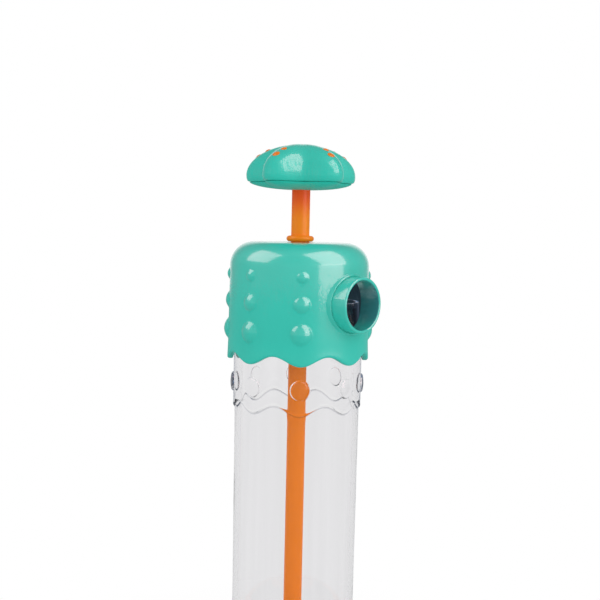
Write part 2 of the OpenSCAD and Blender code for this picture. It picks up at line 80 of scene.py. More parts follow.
WHITE: Colour = (1.0, 1.0, 1.0)


class Slot(Enum):
    """Material slots of the record."""

    TEAL = "teal_plastic"
    ORANGE = "orange_plastic"
    CLEAR = "clear_plastic"
    WHITE = "white_plastic"
    RUBBER = "seal_rubber"
    STEEL = "steel"


class Look(Enum):
    """Materials that the pieces are dressed in."""

    TEAL = "teal_moulded"
    KNOB = "teal_knob"
    UNDERSIDE = "teal_underside"
    HEAD = "teal_head"
    ORANGE = "orange_moulded"
    ROD = "orange_rod"
    CLEAR = "clear_moulded"
    WHITE = "white_moulded"
    RUBBER = "soft_rubber"
    STEEL = "turned_steel"

    @property
    def slot(self) -> Slot:
        """The material slot that the look belongs to.

        Returns:
            The slot of the plastic that a look is a kind of, or else the slot of the look's name.
        """
        teal = {look: Slot.TEAL for look in (Look.KNOB, Look.UNDERSIDE, Look.HEAD)}
        shared = {**teal, Look.ROD: Slot.ORANGE}
        return shared.get(self) or Slot[self.name]


class Body(Enum):
    """Bodies of the frame that pieces ride on."""

    BARREL = "barrel"
    HEAD = "head"
    HANDLE = "handle"


def from_srgb(red: int, green: int, blue: int) -> Colour:
    """Return a colour given in 8-bit sRGB as linear values."""
    parts = [v / 255 for v in (red, green, blue)]
    return tuple(v / 12.92 if v <= 0.04045 else ((v + 0.055) / 1.055) ** 2.4 for v in parts)


def scaled(values: Sequence[float], share: float = MM) -> tuple[float, ...]:
    """Return values times a share, which by default turns millimetres into metres."""
    return tuple(v * share for v in values)


# Shader nodes


class Wire:
    """An output socket that takes part in Python arithmetic, where each step adds a Math node."""

    def __init__(self, bench: NodeBench, socket: bpy.types.NodeSocket) -> None:
        """Keep the socket and the bench that it is on."""
        self.bench = bench
        self.socket = socket

    def maths(self, operation: str, first: Value, second: Value) -> Wire:
        """Return the output of a Math node with that operation and those two values."""
        return self.bench.wire("ShaderNodeMath", {"operation": operation}, {0: first, 1: second})

    def __add__(self, other: Value) -> Wire:
        """Return self + other."""
        return self.maths("ADD", self, other)

    def __radd__(self, other: Value) -> Wire:
        """Return other + self."""
        return self.maths("ADD", other, self)

    def __sub__(self, other: Value) -> Wire:
        """Return self - other."""
        return self.maths("SUBTRACT", self, other)

    def __rsub__(self, other: Value) -> Wire:
        """Return other - self."""
        return self.maths("SUBTRACT", other, self)

    def __mul__(self, other: Value) -> Wire:
        """Return self * other."""
        return self.maths("MULTIPLY", self, other)

    def __rmul__(self, other: Value) -> Wire:
        """Return other * self."""
        return self.maths("MULTIPLY", other, self)

    def __pow__(self, other: Value) -> Wire:
        """Return self to the power of other."""
        return self.maths("POWER", self, other)

    def __rpow__(self, other: Value) -> Wire:
        """Return other to the power of self."""
        return self.maths("POWER", other, self)

    def __or__(self, other: Value) -> Wire:
        """Return the larger of the two."""
        return self.maths("MAXIMUM", self, other)

    def __ror__(self, other: Value) -> Wire:
        """Return the larger of the two."""
        return self.maths("MAXIMUM", other, self)

    def under(self, other: Value) -> Wire:
        """Return 1 where self is less than other, and 0 elsewhere."""
        return self.maths("LESS_THAN", self, other)


Value = Union[float, Wire]


class NodeBench:
    """The node tree of a material or a world, cleared and built up node by node."""

    def __init__(self, owner: bpy.types.Material | bpy.types.World) -> None:
        """Take the owner's node tree and empty it.

        Args:
            owner: The material or world.
        """
        owner.use_nodes = True
        self.tree = owner.node_tree
        self.tree.nodes.clear()

    def node(
        self, kind: str, settings: Mapping[str, Any], sockets: Mapping[Any, Any]
    ) -> bpy.types.Node:
        """Add a node.

        Args:
            kind: The node's type.
            settings: Its settings, which are set first.
            sockets: Values or wires by the input's name or number.

        Returns:
            The new node.
        """
        made = self.tree.nodes.new(kind)
        for key, value in settings.items():
            setattr(made, key, value)
        for key, value in sockets.items():
            if isinstance(value, Wire):
                self.tree.links.new(value.socket, made.inputs[key])
            else:
                made.inputs[key].default_value = value
        return made

    def wire(
        self,
        kind: str,
        settings: Mapping[str, Any],
        sockets: Mapping[Any, Any],
        output: int | str = 0,
    ) -> Wire:
        """Add a node and return its output of that name or number."""
        return Wire(self, self.node(kind, settings, sockets).outputs[output])

    def principled(self, sockets: Mapping[str, Any]) -> Wire:
        """Return a Principled shader with those values or wires."""
        return self.wire("ShaderNodeBsdfPrincipled", {}, sockets)

    def blend(self, share: Value, first: Any, second: Any) -> Wire:
        """Return a mix of two colours.

        Args:
            share: Share of the second colour.
            first: A colour or a wire.
            second: A colour or a wire.

        Returns:
            The wire that carries the mixed colour.
        """
        ends = [v if isinstance(v, Wire) else (*v, 1.0) for v in (first, second)]
        settings = {"data_type": "RGBA", "clamp_factor": True}
        sockets = {0: share, 6: ends[0], 7: ends[1]}
        return self.wire("ShaderNodeMix", settings, sockets, output=2)

    def mix(self, share: Wire, first: Wire, second: Wire) -> Wire:
        """Return a mix of two shaders with that share of the second."""
        return self.wire("ShaderNodeMixShader", {}, {0: share, 1: first, 2: second})

    def place(self) -> Wire:
        """Return the point on the piece, in metres."""
        return self.wire("ShaderNodeTexCoord", {}, {}, output="Object")

    def direction(self) -> Wire:
        """Return the direction of a ray that leaves for the surroundings."""
        return self.wire("ShaderNodeTexCoord", {}, {}, output="Generated")

    def rays(self, *names: str) -> list[Wire]:
        """Return what Light Path says under those names."""
        path = self.node("ShaderNodeLightPath", {}, {})
        return [Wire(self, path.outputs[name]) for name in names]

    def vector(self, operation: str, first: Wire, second: Triple, output: str = "Vector") -> Wire:
        """Return an output of a Vector Math node."""
        settings = {"operation": operation}
        return self.wire("ShaderNodeVectorMath", settings, {0: first, 1: second}, output)

    def drawn(self, point: Wire, share: float) -> Wire:
        """Return a point with its height cut to a share, which draws a pattern out upright."""
        return self.vector("MULTIPLY", point, (1.0, 1.0, share))

    def parts(self, point: Wire) -> list[Wire]:
        """Return the three coordinates of a point."""
        split = self.node("ShaderNodeSeparateXYZ", {}, {0: point})
        return [Wire(self, output) for output in split.outputs]

    def ramp(
        self, value: Wire, start: float, end: float, low: float = 0.0, high: float = 1.0
    ) -> Wire:
        """Return a smooth step.

        Args:
            value: The wire that drives it.
            start: The value where the step begins.
            end: The value where it ends, which may be the smaller one.
            low: The result before the step.
            high: The result after it.

        Returns:
            The wire that carries the result.
        """
        sockets = {"From Min": start, "From Max": end, "To Min": low, "To Max": high}
        settings = {"interpolation_type": "SMOOTHSTEP"}
        return self.wire("ShaderNodeMapRange", settings, {"Value": value, **sockets})

    def noise(self, point: Wire, size: float, detail: float = 2.0) -> Wire:
        """Return soft noise from 0 to 1 whose grains are about `size` millimetres across."""
        sockets = {"Vector": point, "Scale": 1 / (size * MM), "Detail": detail}
        return self.wire("ShaderNodeTexNoise", {}, sockets, output="Fac")

    def bump(self, height: Wire, depth: float) -> Wire:
        """Return a normal bumped by a height from 0 to 1 over `depth` millimetres."""
        sockets = {"Strength": 1.0, "Distance": depth * MM, "Height": height}
        return self.wire("ShaderNodeBump", {}, sockets)

    def finish(self, shader: Wire, kind: str = "ShaderNodeOutputMaterial") -> None:
        """Wire a shader to the output."""
        self.node(kind, {}, {"Surface": shader})


# Finishes


@dataclass(frozen=True)
class Finish:
    """A look that is made of shader nodes."""

    look: Look

    def shader(self, bench: NodeBench, point: Wire) -> Wire:
        """Return the shader at a point of the piece."""
        raise NotImplementedError

    def material(self) -> bpy.types.Material:
        """Make the finish.

        Returns:
            Its node material.
        """
        made = bpy.data.materials.new(self.look.value)
        bench = NodeBench(made)
        bench.finish(self.shader(bench, bench.place()))
        return made


@dataclass(frozen=True)
class MouldedPlastic(Finish):
    """Satin plastic with the fine grain of an eroded mould, soft flow marks and cloudy colour."""

    colour: Colour
    roughness: float
    cloud: float = 14.0
    grain: float = 0.32
    flow: float = 5.0
    depth: float = 0.006
    flow_depth: float = 0.5
    mottle: float = 0.05
    flow_rough: float = 0.05
    grain_rough: float = 0.04
    index: float = 1.48
    sheen: float = 0.3
    polish: float = 0.0
    coat_rough: float = 0.12
    coat_index: float = 1.5
    # Painted light: an emission that stands in for light scattered in the plastic.
    glow: Colour = BLACK

    def tone(self, bench: NodeBench, point: Wire, colour: Wire) -> Wire:
        """Return the colour at a point of the piece."""
        return colour

    def gloss(self, bench: NodeBench, point: Wire) -> Value:
        """Return the weight of the polished coat at a point of the piece."""
        return self.polish

    def light(self, bench: NodeBench, point: Wire) -> Any:
        """Return the painted light at a point of the piece, an emission that stands in for scattered
        light.
        """
        return (*self.glow, 1.0)

    def shader(self, bench: NodeBench, point: Wire) -> Wire:
        """Return the shader.

        Args:
            bench: The bench to build it on.
            point: The point on the piece.

        Returns:
            The shader's wire.
        """
        cloud = bench.noise(point, self.cloud, detail=3.0)
        grain = bench.noise(point, self.grain, detail=1.0)
        flow = bench.noise(point, self.flow)
        light = tuple(min(1.0, v) for v in scaled(self.colour, 1 + self.mottle))
        colour = bench.blend(cloud, scaled(self.colour, 1 - self.mottle), light)
        smooth = self.roughness - self.grain_rough
        return bench.principled(
            {
                "Base Color": self.tone(bench, point, colour),
                "Roughness": smooth + self.flow_rough * flow + self.grain_rough * grain,
                "Normal": bench.bump(grain + self.flow_depth * flow, self.depth),
                "IOR": self.index,
                "Specular IOR Level": self.sheen,
                "Coat Weight": self.gloss(bench, point),
                "Coat Roughness": self.coat_rough,
                "Coat IOR": self.coat_index,
                "Emission Color": self.light(bench, point),
                "Emission Strength": 1.0,
            }
        )


@dataclass(frozen=True)
class KnobPlastic(MouldedPlastic):
    """The knob's plastic, with upright scuffs where a hand takes hold of it."""

    scuffs: Pair = (274.5, 269.0)
    scuff_size: float = 0.8
    scuff_drawn: float = 0.12
    scuff_edges: Pair = (0.42, 0.62)
    scuff_cut: float = 0.75

    def gloss(self, bench: NodeBench, point: Wire) -> Wire:
        """Return the coat's weight, broken up by the scuffs.

        Args:
            bench: The bench.
            point: The point on the piece.

        Returns:
            The weight's wire.
        """
        lines = bench.noise(bench.drawn(point, self.scuff_drawn), self.scuff_size)
        reach = bench.ramp(bench.parts(point)[2], *scaled(self.scuffs))
        worn = bench.ramp(lines, *self.scuff_edges) * reach
        return self.polish * (1 - self.scuff_cut * worn)


@dataclass(frozen=True)
class HeadPlastic(MouldedPlastic):
    """The head's plastic: painted shade and painted light inside, fine specks in the gloss under the
    shoulder.
    """

    cavity: Triple = (31.4, 186.0, 219.5)
    spout: Triple = (205.3, 11.62, 20.0)
    # Painted shade in the bore fades off towards the bore's top and bottom.
    hollow: Pair = (22.0, 125.0)
    hollow_end: float = 0.3
    wall: float = 33.8
    shoulder: float = 221.9
    speck_size: float = 0.8
    speck_level: float = 210.0
    speck_slope: float = 16.0
    speck_edges: Pair = (0.46, 0.54)
    speck_cut: float = 0.9
    hem: Pair = (185.0, 194.0)
    hem_coat: float = 0.1
    # Painted shade: the colours of the bore and of the cavity, then the cavity's painted light.
    shade: Colour = BLACK
    depths: Colour = BLACK
    gleam: Colour = BLACK

    def inside(self, bench: NodeBench, point: Wire) -> tuple[Wire, Wire]:
        """Tell the inside of the head from its outside.

        Args:
            bench: The bench.
            point: The point on the piece.

        Returns:
            1 in the head's cavity, and 1 in the socket's bore.
        """
        x, y, z = bench.parts(point)
        reach, low, high = scaled(self.cavity)
        level, bore, back = scaled(self.spout)
        round_axis = (x * x + y * y).under(reach * reach) * z.under(high) * (1 - z.under(low))
        off_axis = y * y + (z - level) * (z - level)
        return round_axis, off_axis.under(bore * bore) * (1 - x.under(back))

    def tone(self, bench: NodeBench, point: Wire, colour: Wire) -> Wire:
        """Return the colour, with painted shade in the cavity and at mid-height in the bore.

        Args:
            bench: The bench.
            point: The point on the piece.
            colour: The colour outside.

        Returns:
            The colour's wire.
        """
        cavity, bore = self.inside(bench, point)
        rise = bench.parts(point)[2] - self.spout[0] * MM
        start, end = scaled(self.hollow, MM**2)
        shaded = bore * bench.ramp(rise * rise, start, end, 1.0, self.hollow_end)
        return bench.blend(cavity, bench.blend(shaded, colour, self.shade), self.depths)

    def gloss(self, bench: NodeBench, point: Wire) -> Wire:
        """Return the coat's weight, with specks on the wall, and faint on the skirt's hem.

        Args:
            bench: The bench.
            point: The point on the piece.

        Returns:
            The weight's wire.
        """
        x, y, z = bench.parts(point)
        wear = bench.noise(point, self.speck_size) + self.speck_slope * (self.speck_level * MM - z)
        specks = bench.ramp(wear, *self.speck_edges) * z.under(self.shoulder * MM)
        plain = (x * x + y * y).under((self.wall * MM) ** 2)
        hem = bench.ramp(z, *scaled(self.hem), self.hem_coat, 1.0)
        return self.polish * (1 - self.speck_cut * (specks * plain)) * hem

    def light(self, bench: NodeBench, point: Wire) -> Wire:
        """Return the painted light in the cavity, a faint emission that stands in for light through
        the wall.
        """
        cavity, _ = self.inside(bench, point)
        return bench.blend(cavity, BLACK, self.gleam)


@dataclass(frozen=True)
class RodPlastic(MouldedPlastic):
    """The rod's plastic, with painted shade under the knob."""

    # Painted shade under the knob: its colour and the heights over which it comes in.
    blush: Colour = BLACK
    blush_levels: Pair = (242.0, 257.0)

    def tone(self, bench: NodeBench, point: Wire, colour: Wire) -> Wire:
        """Return the colour at a point along the rod, darkened by painted shade under the knob."""
        share = bench.ramp(bench.parts(point)[2], *scaled(self.blush_levels))
        return bench.blend(share, colour, self.blush)


@dataclass(frozen=True)
class ClearPlastic(Finish):
    """Clear moulded plastic with faint flow waves and upright streaks on its outer side."""

    tint: Colour
    # Painted light: the outer side lights up towards its edges, in the first colour low down and the
    # second higher up.
    edge_low: Colour
    edge_high: Colour
    edge_levels: Pair = (150.0, 156.0)
    edge_power: float = 7.0
    # Painted highlight on the band edge's rounding, and painted shade on the fine line under it.
    pale: Colour = WHITE
    line: Colour = (0.62, 0.62, 0.66)
    bore: float = 27.6
    band_low: float = 153.6
    brow_sides: tuple[Pair, Pair] = ((0.2, 0.5), (1.9, 1.3))
    line_sides: tuple[Pair, Pair] = ((-0.8, -0.4), (0.2, -0.1))
    waves: float = 22.0
    wave_depth: float = 0.12
    haze: float = 3.0
    haze_rough: float = 0.015
    streak_size: float = 6.0
    streak_drawn: float = 0.05
    streak_edges: Pair = (0.35, 0.65)
    streak_tint: float = 0.965
    roughness: float = 0.02
    index: float = 1.3
    sheen: float = 0.25

    def brow(self, bench: NodeBench, point: Wire) -> list[Wire]:
        """Find the lower edge of the wavy band.

        Args:
            bench: The bench.
            point: The point on the piece.

        Returns:
            1 on the edge's rounding, and 1 on the fine line under it.
        """
        x, y, z = bench.parts(point)
        wave = Wave()
        half = wave.height / 2
        swing = x.maths("COSINE", x.maths("ARCTAN2", y, x) * wave.count, 0.0)
        over = z - (self.band_low + half) * MM + swing * (half * MM)
        return [
            bench.ramp(over, *scaled(rise)) * bench.ramp(over, *scaled(fall))
            for rise, fall in (self.brow_sides, self.line_sides)
        ]

    def shader(self, bench: NodeBench, point: Wire) -> Wire:
        """Return the shader.

        Args:
            bench: The bench to build it on.
            point: The point on the piece.

        Returns:
            The shader's wire.
        """
        streaks = bench.noise(bench.drawn(point, self.streak_drawn), self.streak_size, detail=1.0)
        x, y, z = bench.parts(point)
        outside = 1 - (x * x + y * y).under((self.bore * MM) ** 2)
        streaked = bench.ramp(streaks, *self.streak_edges)
        stain = bench.blend(streaked, scaled(self.tint, self.streak_tint), self.tint)
        # The band's lower edge gets a painted highlight on its rounding and a painted shade line
        # under it.
        brow, line = self.brow(bench, point)
        band = bench.blend(brow, bench.blend(line, stain, self.line), self.pale)
        # Painted light on the outer side, growing towards its edges.
        slant = bench.wire("ShaderNodeLayerWeight", {}, {"Blend": 0.5}, output="Facing")
        edge = bench.blend(
            bench.ramp(z, *scaled(self.edge_levels)), self.edge_low, self.edge_high
        )
        haze = bench.noise(point, self.haze)
        waves = bench.noise(point, self.waves, detail=1.0)
        return bench.principled(
            {
                "Base Color": bench.blend(outside, WHITE, band),
                "Roughness": self.roughness + self.haze_rough * haze,
                "Normal": bench.bump(waves, self.wave_depth),
                "IOR": self.index,
                "Specular IOR Level": self.sheen,
                "Transmission Weight": 1.0,
                "Emission Color": bench.blend(outside * slant**self.edge_power, BLACK, edge),
                "Emission Strength": 1.0,
            }
        )


@dataclass(frozen=True)
class SealRubber(Finish):
    """Dull soft rubber with a bloom of talc."""

    colour: Colour
    bloom: Colour
    dust: float = 4.0
    dust_share: float = 0.5
    dust_rough: float = 0.2
    pores: float = 0.4
    pore_depth: float = 0.02
    roughness: float = 0.55
    index: float = 1.5

    def shader(self, bench: NodeBench, point: Wire) -> Wire:
        """Return the shader.

        Args:
            bench: The bench to build it on.
            point: The point on the piece.

        Returns:
            The shader's wire.
        """
        dust = bench.noise(point, self.dust, detail=4.0)
        return bench.principled(
            {
                "Base Color": bench.blend(dust * self.dust_share, self.colour, self.bloom),
                "Roughness": self.roughness + self.dust_rough * dust,
                "Normal": bench.bump(bench.noise(point, self.pores), self.pore_depth),
                "IOR": self.index,
            }
        )


@dataclass(frozen=True)
class TurnedSteel(Finish):
    """Plated steel with fine turning marks."""

    colour: Colour
    marks: float = 900.0
    mark_waver: float = 1.5
    mark_depth: float = 0.004
    mark_rough: float = 0.12
    roughness: float = 0.22
    stain: float = 3.0
    stain_tint: float = 0.85

    def shader(self, bench: NodeBench, point: Wire) -> Wire:
        """Return the shader.

        Args:
            bench: The bench to build it on.
            point: The point on the piece.

        Returns:
            The shader's wire.
        """
        marks = bench.wire(
            "ShaderNodeTexWave",
            {"wave_type": "RINGS", "rings_direction": "Z"},
            {"Vector": point, "Scale": self.marks, "Distortion": self.mark_waver, "Detail": 2.0},
            output="Fac",
        )
        stain = bench.noise(point, self.stain, detail=3.0)
        stained = scaled(self.colour, self.stain_tint)
        return bench.principled(
            {
                "Base Color": bench.blend(stain, self.colour, stained),
                "Metallic": 1.0,
                "Roughness": self.roughness + self.mark_rough * marks,
                "Normal": bench.bump(marks, self.mark_depth),
            }
        )


FINISHES: tuple[Finish, ...] = (
    MouldedPlastic(Look.TEAL, from_srgb(42, 187, 169), 0.38, polish=0.74, sheen=0.2),
    KnobPlastic(Look.KNOB, from_srgb(42, 187, 169), 0.38, polish=0.74, sheen=0.2),
    MouldedPlastic(Look.UNDERSIDE, from_srgb(40, 186, 168), 0.5, polish=0.12, sheen=0.2),
    HeadPlastic(
        Look.HEAD,
        # Its red is a little higher than the teal's: painted sheen for the coat's haze that the
        # wall's specks take off.
        from_srgb(48, 187, 170),
        0.38,
        polish=1.0,
        sheen=0.2,
        # Painted shade in the bore and the cavity, and painted light in the cavity.
        shade=from_srgb(58, 136, 141),
        depths=from_srgb(32, 70, 78),
        gleam=from_srgb(26, 38, 46),
    ),
    MouldedPlastic(
        Look.ORANGE,
        from_srgb(212, 114, 16),
        0.42,
        polish=0.06,
        sheen=0.15,
        # Faint painted light.
        glow=(0.04, 0.004, 0.001),
    ),
    RodPlastic(
        Look.ROD,
        from_srgb(220, 127, 14),
        0.42,
        polish=0.12,
        sheen=0.12,
        # Painted light.
        glow=(0.18, 0.02, 0.001),
        # Painted shade under the knob.
        blush=from_srgb(208, 70, 18),
    ),
    # The last two colours are painted light at the outer side's edges.
    ClearPlastic(Look.CLEAR, (0.95, 0.945, 0.96), (0.4, 0.4, 0.41), (0.09, 0.12, 0.18)),
    MouldedPlastic(Look.WHITE, from_srgb(236, 236, 231), 0.42, mottle=0.02),
    SealRubber(Look.RUBBER, from_srgb(44, 46, 49), from_srgb(84, 86, 88)),
    TurnedSteel(Look.STEEL, (0.62, 0.63, 0.65)),
)


# Meshes


def skin(rings: Rings, closed: bool) -> tuple[np.ndarray, list[list[int]]]:
    """Join rings of points into one surface.

    Args:
        rings: Points as an array (rings, points a ring, 3), in millimetres.
        closed: True joins the last ring to the first; False closes each end with one flat face.

    Returns:
        The points, and the faces as lists of their numbers.
    """
    rows, cols, _ = rings.shape
    number = np.arange(rows * cols).reshape(rows, cols)
    low = number if closed else number[:-1]
    high = np.roll(number, -1, axis=0) if closed else number[1:]
    quads = np.stack([low, np.roll(low, -1, axis=1), np.roll(high, -1, axis=1), high], axis=-1)
    faces = quads.reshape(-1, 4).tolist()
    if not closed:
        faces.append(number[0][::-1].tolist())
        faces.append(number[-1].tolist())
    return rings.reshape(-1, 3), faces


def full_turn(steps: int) -> np.ndarray:
    """Return angles once round the axis, in radians."""
    return np.arange(steps) * 2 * math.pi / steps


def turned(radius: np.ndarray, level: np.ndarray, turn: np.ndarray) -> np.ndarray:
    """Return points from their radius and height at angles round the axis."""
    return np.stack([radius * np.cos(turn), radius * np.sin(turn), level + 0 * turn], axis=-1)


def lathe(outline: Sequence[Pair], steps: int) -> Rings:
    """Turn an outline of (radius, height) about the Z axis and return its rings."""
    radius, level = np.array(outline).T[..., None]
    return turned(radius, level, full_turn(steps))


def arc(centre: Pair, radius: float, start: float, end: float, steps: int) -> list[Pair]:
    """Return points (radius, height) on an arc, from one angle to another in degrees."""
    angles = np.radians(np.linspace(start, end, steps))
    return [(centre[0] + radius * math.cos(a), centre[1] + radius * math.sin(a)) for a in angles]


def level_points(points: Sequence[Pair]) -> list[Triple]:
    """Return points (radius, height) with no share of the wave."""
    return [(r, z, 0.0) for r, z in points]


def steps_between(low: float, high: float, size: float) -> list[float]:
    """Return heights from low up to just under high, about `size` apart."""
    count = max(1, round((high - low) / size))
    return np.linspace(low, high, count, endpoint=False).tolist()


def soft_max(first: np.ndarray, second: np.ndarray | float, blend: float) -> np.ndarray:
    """Return the larger of two heights, with a fillet where they meet."""
    gap = np.maximum(blend - np.abs(first - second), 0)
    return np.maximum(first, second) + gap * gap / (4 * blend)


@dataclass
class Piece:
    """A mesh of one or more closed surfaces that becomes an object."""

    name: str

    def __post_init__(self) -> None:
        """Start with no surface."""
        self.points: list[np.ndarray] = []
        self.faces: list[list[int]] = []

    def add(self, rings: Rings, closed: bool = False) -> None:
        """Add a surface.

        Args:
            rings: The rings of points that it goes through.
            closed: Whether the last ring joins the first.
        """
        points, faces = skin(rings, closed)
        first = sum(len(p) for p in self.points)
        self.points.append(points)
        self.faces += [[first + i for i in face] for face in faces]

    def make(self, sharp: float = SHARP) -> bpy.types.Object:
        """Make the object.

        Args:
            sharp: The angle in degrees over which an edge isn't smooth.

        Returns:
            The object, in the scene.
        """
        mesh = bpy.data.meshes.new(self.name)
        mesh.from_pydata((np.concatenate(self.points) * MM).tolist(), [], self.faces)
        mesh.validate()
        mesh.shade_smooth()
        mesh.set_sharp_from_angle(angle=math.radians(sharp))
        made = bpy.data.objects.new(self.name, mesh)
        bpy.context.scene.collection.objects.link(made)
        return made


class Workshop:
    """Holds the materials, and puts finished pieces on their bodies."""

    def __init__(self, frame: Mapping[str, Any]) -> None:
        """Make the materials and dress the nodes in them, the piston as the rod is.

        Args:
            frame: The loaded frame.
        """
        self.materials = {finish.look: finish.material() for finish in FINISHES}
        slots = {part["node"]: Slot(part["material_slot"]) for part in frame["record"]["subparts"]}
        for name, node in frame["nodes"].items():
            look = Look.ROD if name == "piston_body" else Look[slots[name].name]
            self.dress(node, look)
            LOG.info("node %s in %s", name, look.value)

    def dress(self, thing: bpy.types.Object, look: Look) -> None:
        """Give an object its finish."""
        thing.data.materials.clear()
        thing.data.materials.append(self.materials[look])

    def fit(self, thing: bpy.types.Object, body: Body, look: Look, nodes: Sequence[str]) -> None:
        """Put a piece on its body.

        Args:
            thing: The object.
            body: The body that it rides on.
            look: Its finish.
            nodes: The nodes that it stands for.
        """
        self.dress(thing, look)
        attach(thing, body.value)
        if nodes:
            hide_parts(*nodes)
        LOG.info("piece %s on %s, %d faces", thing.name, body.value, len(thing.data.polygons))


def bored(thing: bpy.types.Object, cutter: bpy.types.Object) -> bpy.types.Object:
    """Cut one object's form out of another for good.

    Args:
        thing: The object to bore.
        cutter: The form to take away, which is deleted.

    Returns:
        The bored object.
    """
    cut = thing.modifiers.new("bore", "BOOLEAN")
    cut.operation = "DIFFERENCE"
    cut.solver = "EXACT"
    cut.object = cutter
    depsgraph = bpy.context.evaluated_depsgraph_get()
    mesh = bpy.data.meshes.new_from_object(thing.evaluated_get(depsgraph))
    thing.modifiers.clear()
    old, thing.data = thing.data, mesh
    mesh.name = thing.name
    bpy.data.meshes.remove(old)
    bpy.data.objects.remove(cutter)
    mesh.shade_smooth()
    mesh.set_sharp_from_angle(angle=math.radians(SHARP))
    return thing


# The object


@dataclass(frozen=True)
class Dome:
    """A round cap that stands out of a wall, on a low drum where it has a rim."""

    width: float
    height: float
    level: float
    rim: float = 0.0
    rim_round: float = 0.9
    fillet: float = 0.5
    margin: float = 0.4

    def span(self) -> Pair:
        """Return the heights between which the wall needs fine rings."""
        half = self.width / 2 + self.margin
        return self.level - half, self.level + half

    def swell(self, across: np.ndarray, level: np.ndarray) -> np.ndarray:
        """Return how far the cap stands out.

        Args:
            across: Distance from the cap's centre along the wall.
            level: Height.

        Returns:
            Distance out of the wall, with a small fillet at the cap's foot.
        """
        height = self.height - self.rim
        sphere = (self.width**2 / 4 + height**2) / (2 * height)
        reach = across**2 + (level - self.level) ** 2
        cap = np.sqrt(np.maximum(sphere**2 - reach, 0)) - (sphere - height)
        edge = np.clip((np.sqrt(reach) - self.width / 2) / self.rim_round + 1, 0, 1)
        fillet = self.fillet * (1 - self.rim)
        return soft_max(cap + self.rim * np.sqrt(1 - edge**2), 0.0, fillet)


@dataclass(frozen=True)
class Wave:
    """The wavy line that ends the head's skirt and the barrel's band.

    A column of domes stands on each trough, and `column` is half the angle that it takes.
    """

    count: int = 8
    height: float = 4.4
    column: float = 9.6
    slack: float = 0.001

    def rise(self, turn: np.ndarray) -> np.ndarray:
        """Return the line's height over its troughs."""
        return self.height * (0.5 - 0.5 * np.cos(self.count * turn))

    def turns(self, fine: int, plain: int) -> np.ndarray:
        """Return angles round the axis, closer together on the columns.

        Args:
            fine: Steps across a column.
            plain: Steps between two columns.

        Returns:
            Angles in radians.
        """
        pitch = 360 / self.count
        column = np.linspace(-self.column, self.column, fine, endpoint=False)
        between = np.linspace(self.column, pitch - self.column, plain, endpoint=False)
        one = np.concatenate([column, between])
        return np.radians(np.concatenate([one + k * pitch for k in range(self.count)]))

    def rings(
        self,
        outline: Sequence[Triple],
        turn: np.ndarray,
        wall_r: float,
        domes: Sequence[Dome],
        bare: int | None = None,
    ) -> Rings:
        """Turn an outline that carries the wave, with domes swollen out of its wall.

        Args:
            outline: Points (radius, height, share of the wave).
            turn: Angles round the axis.
            wall_r: The least radius of the wall that the domes are on.
            domes: The domes of a column.
            bare: The number of a column without domes.

        Returns:
            The rings.
        """
        radius, height, share = np.array(outline).T[..., None]
        level = height + share * self.rise(turn)
        pitch = 2 * math.pi / self.count
        number = np.round(turn / pitch)
        across = (turn - number * pitch) * wall_r
        dressed = np.mod(number, self.count) != bare
        domed = (radius > wall_r - self.slack) & (share == 0.0) & dressed
        swollen = radius + 0 * turn
        for dome in domes:
            swollen = swollen + np.where(domed, dome.swell(across, level), 0)
        return turned(swollen, level, turn)


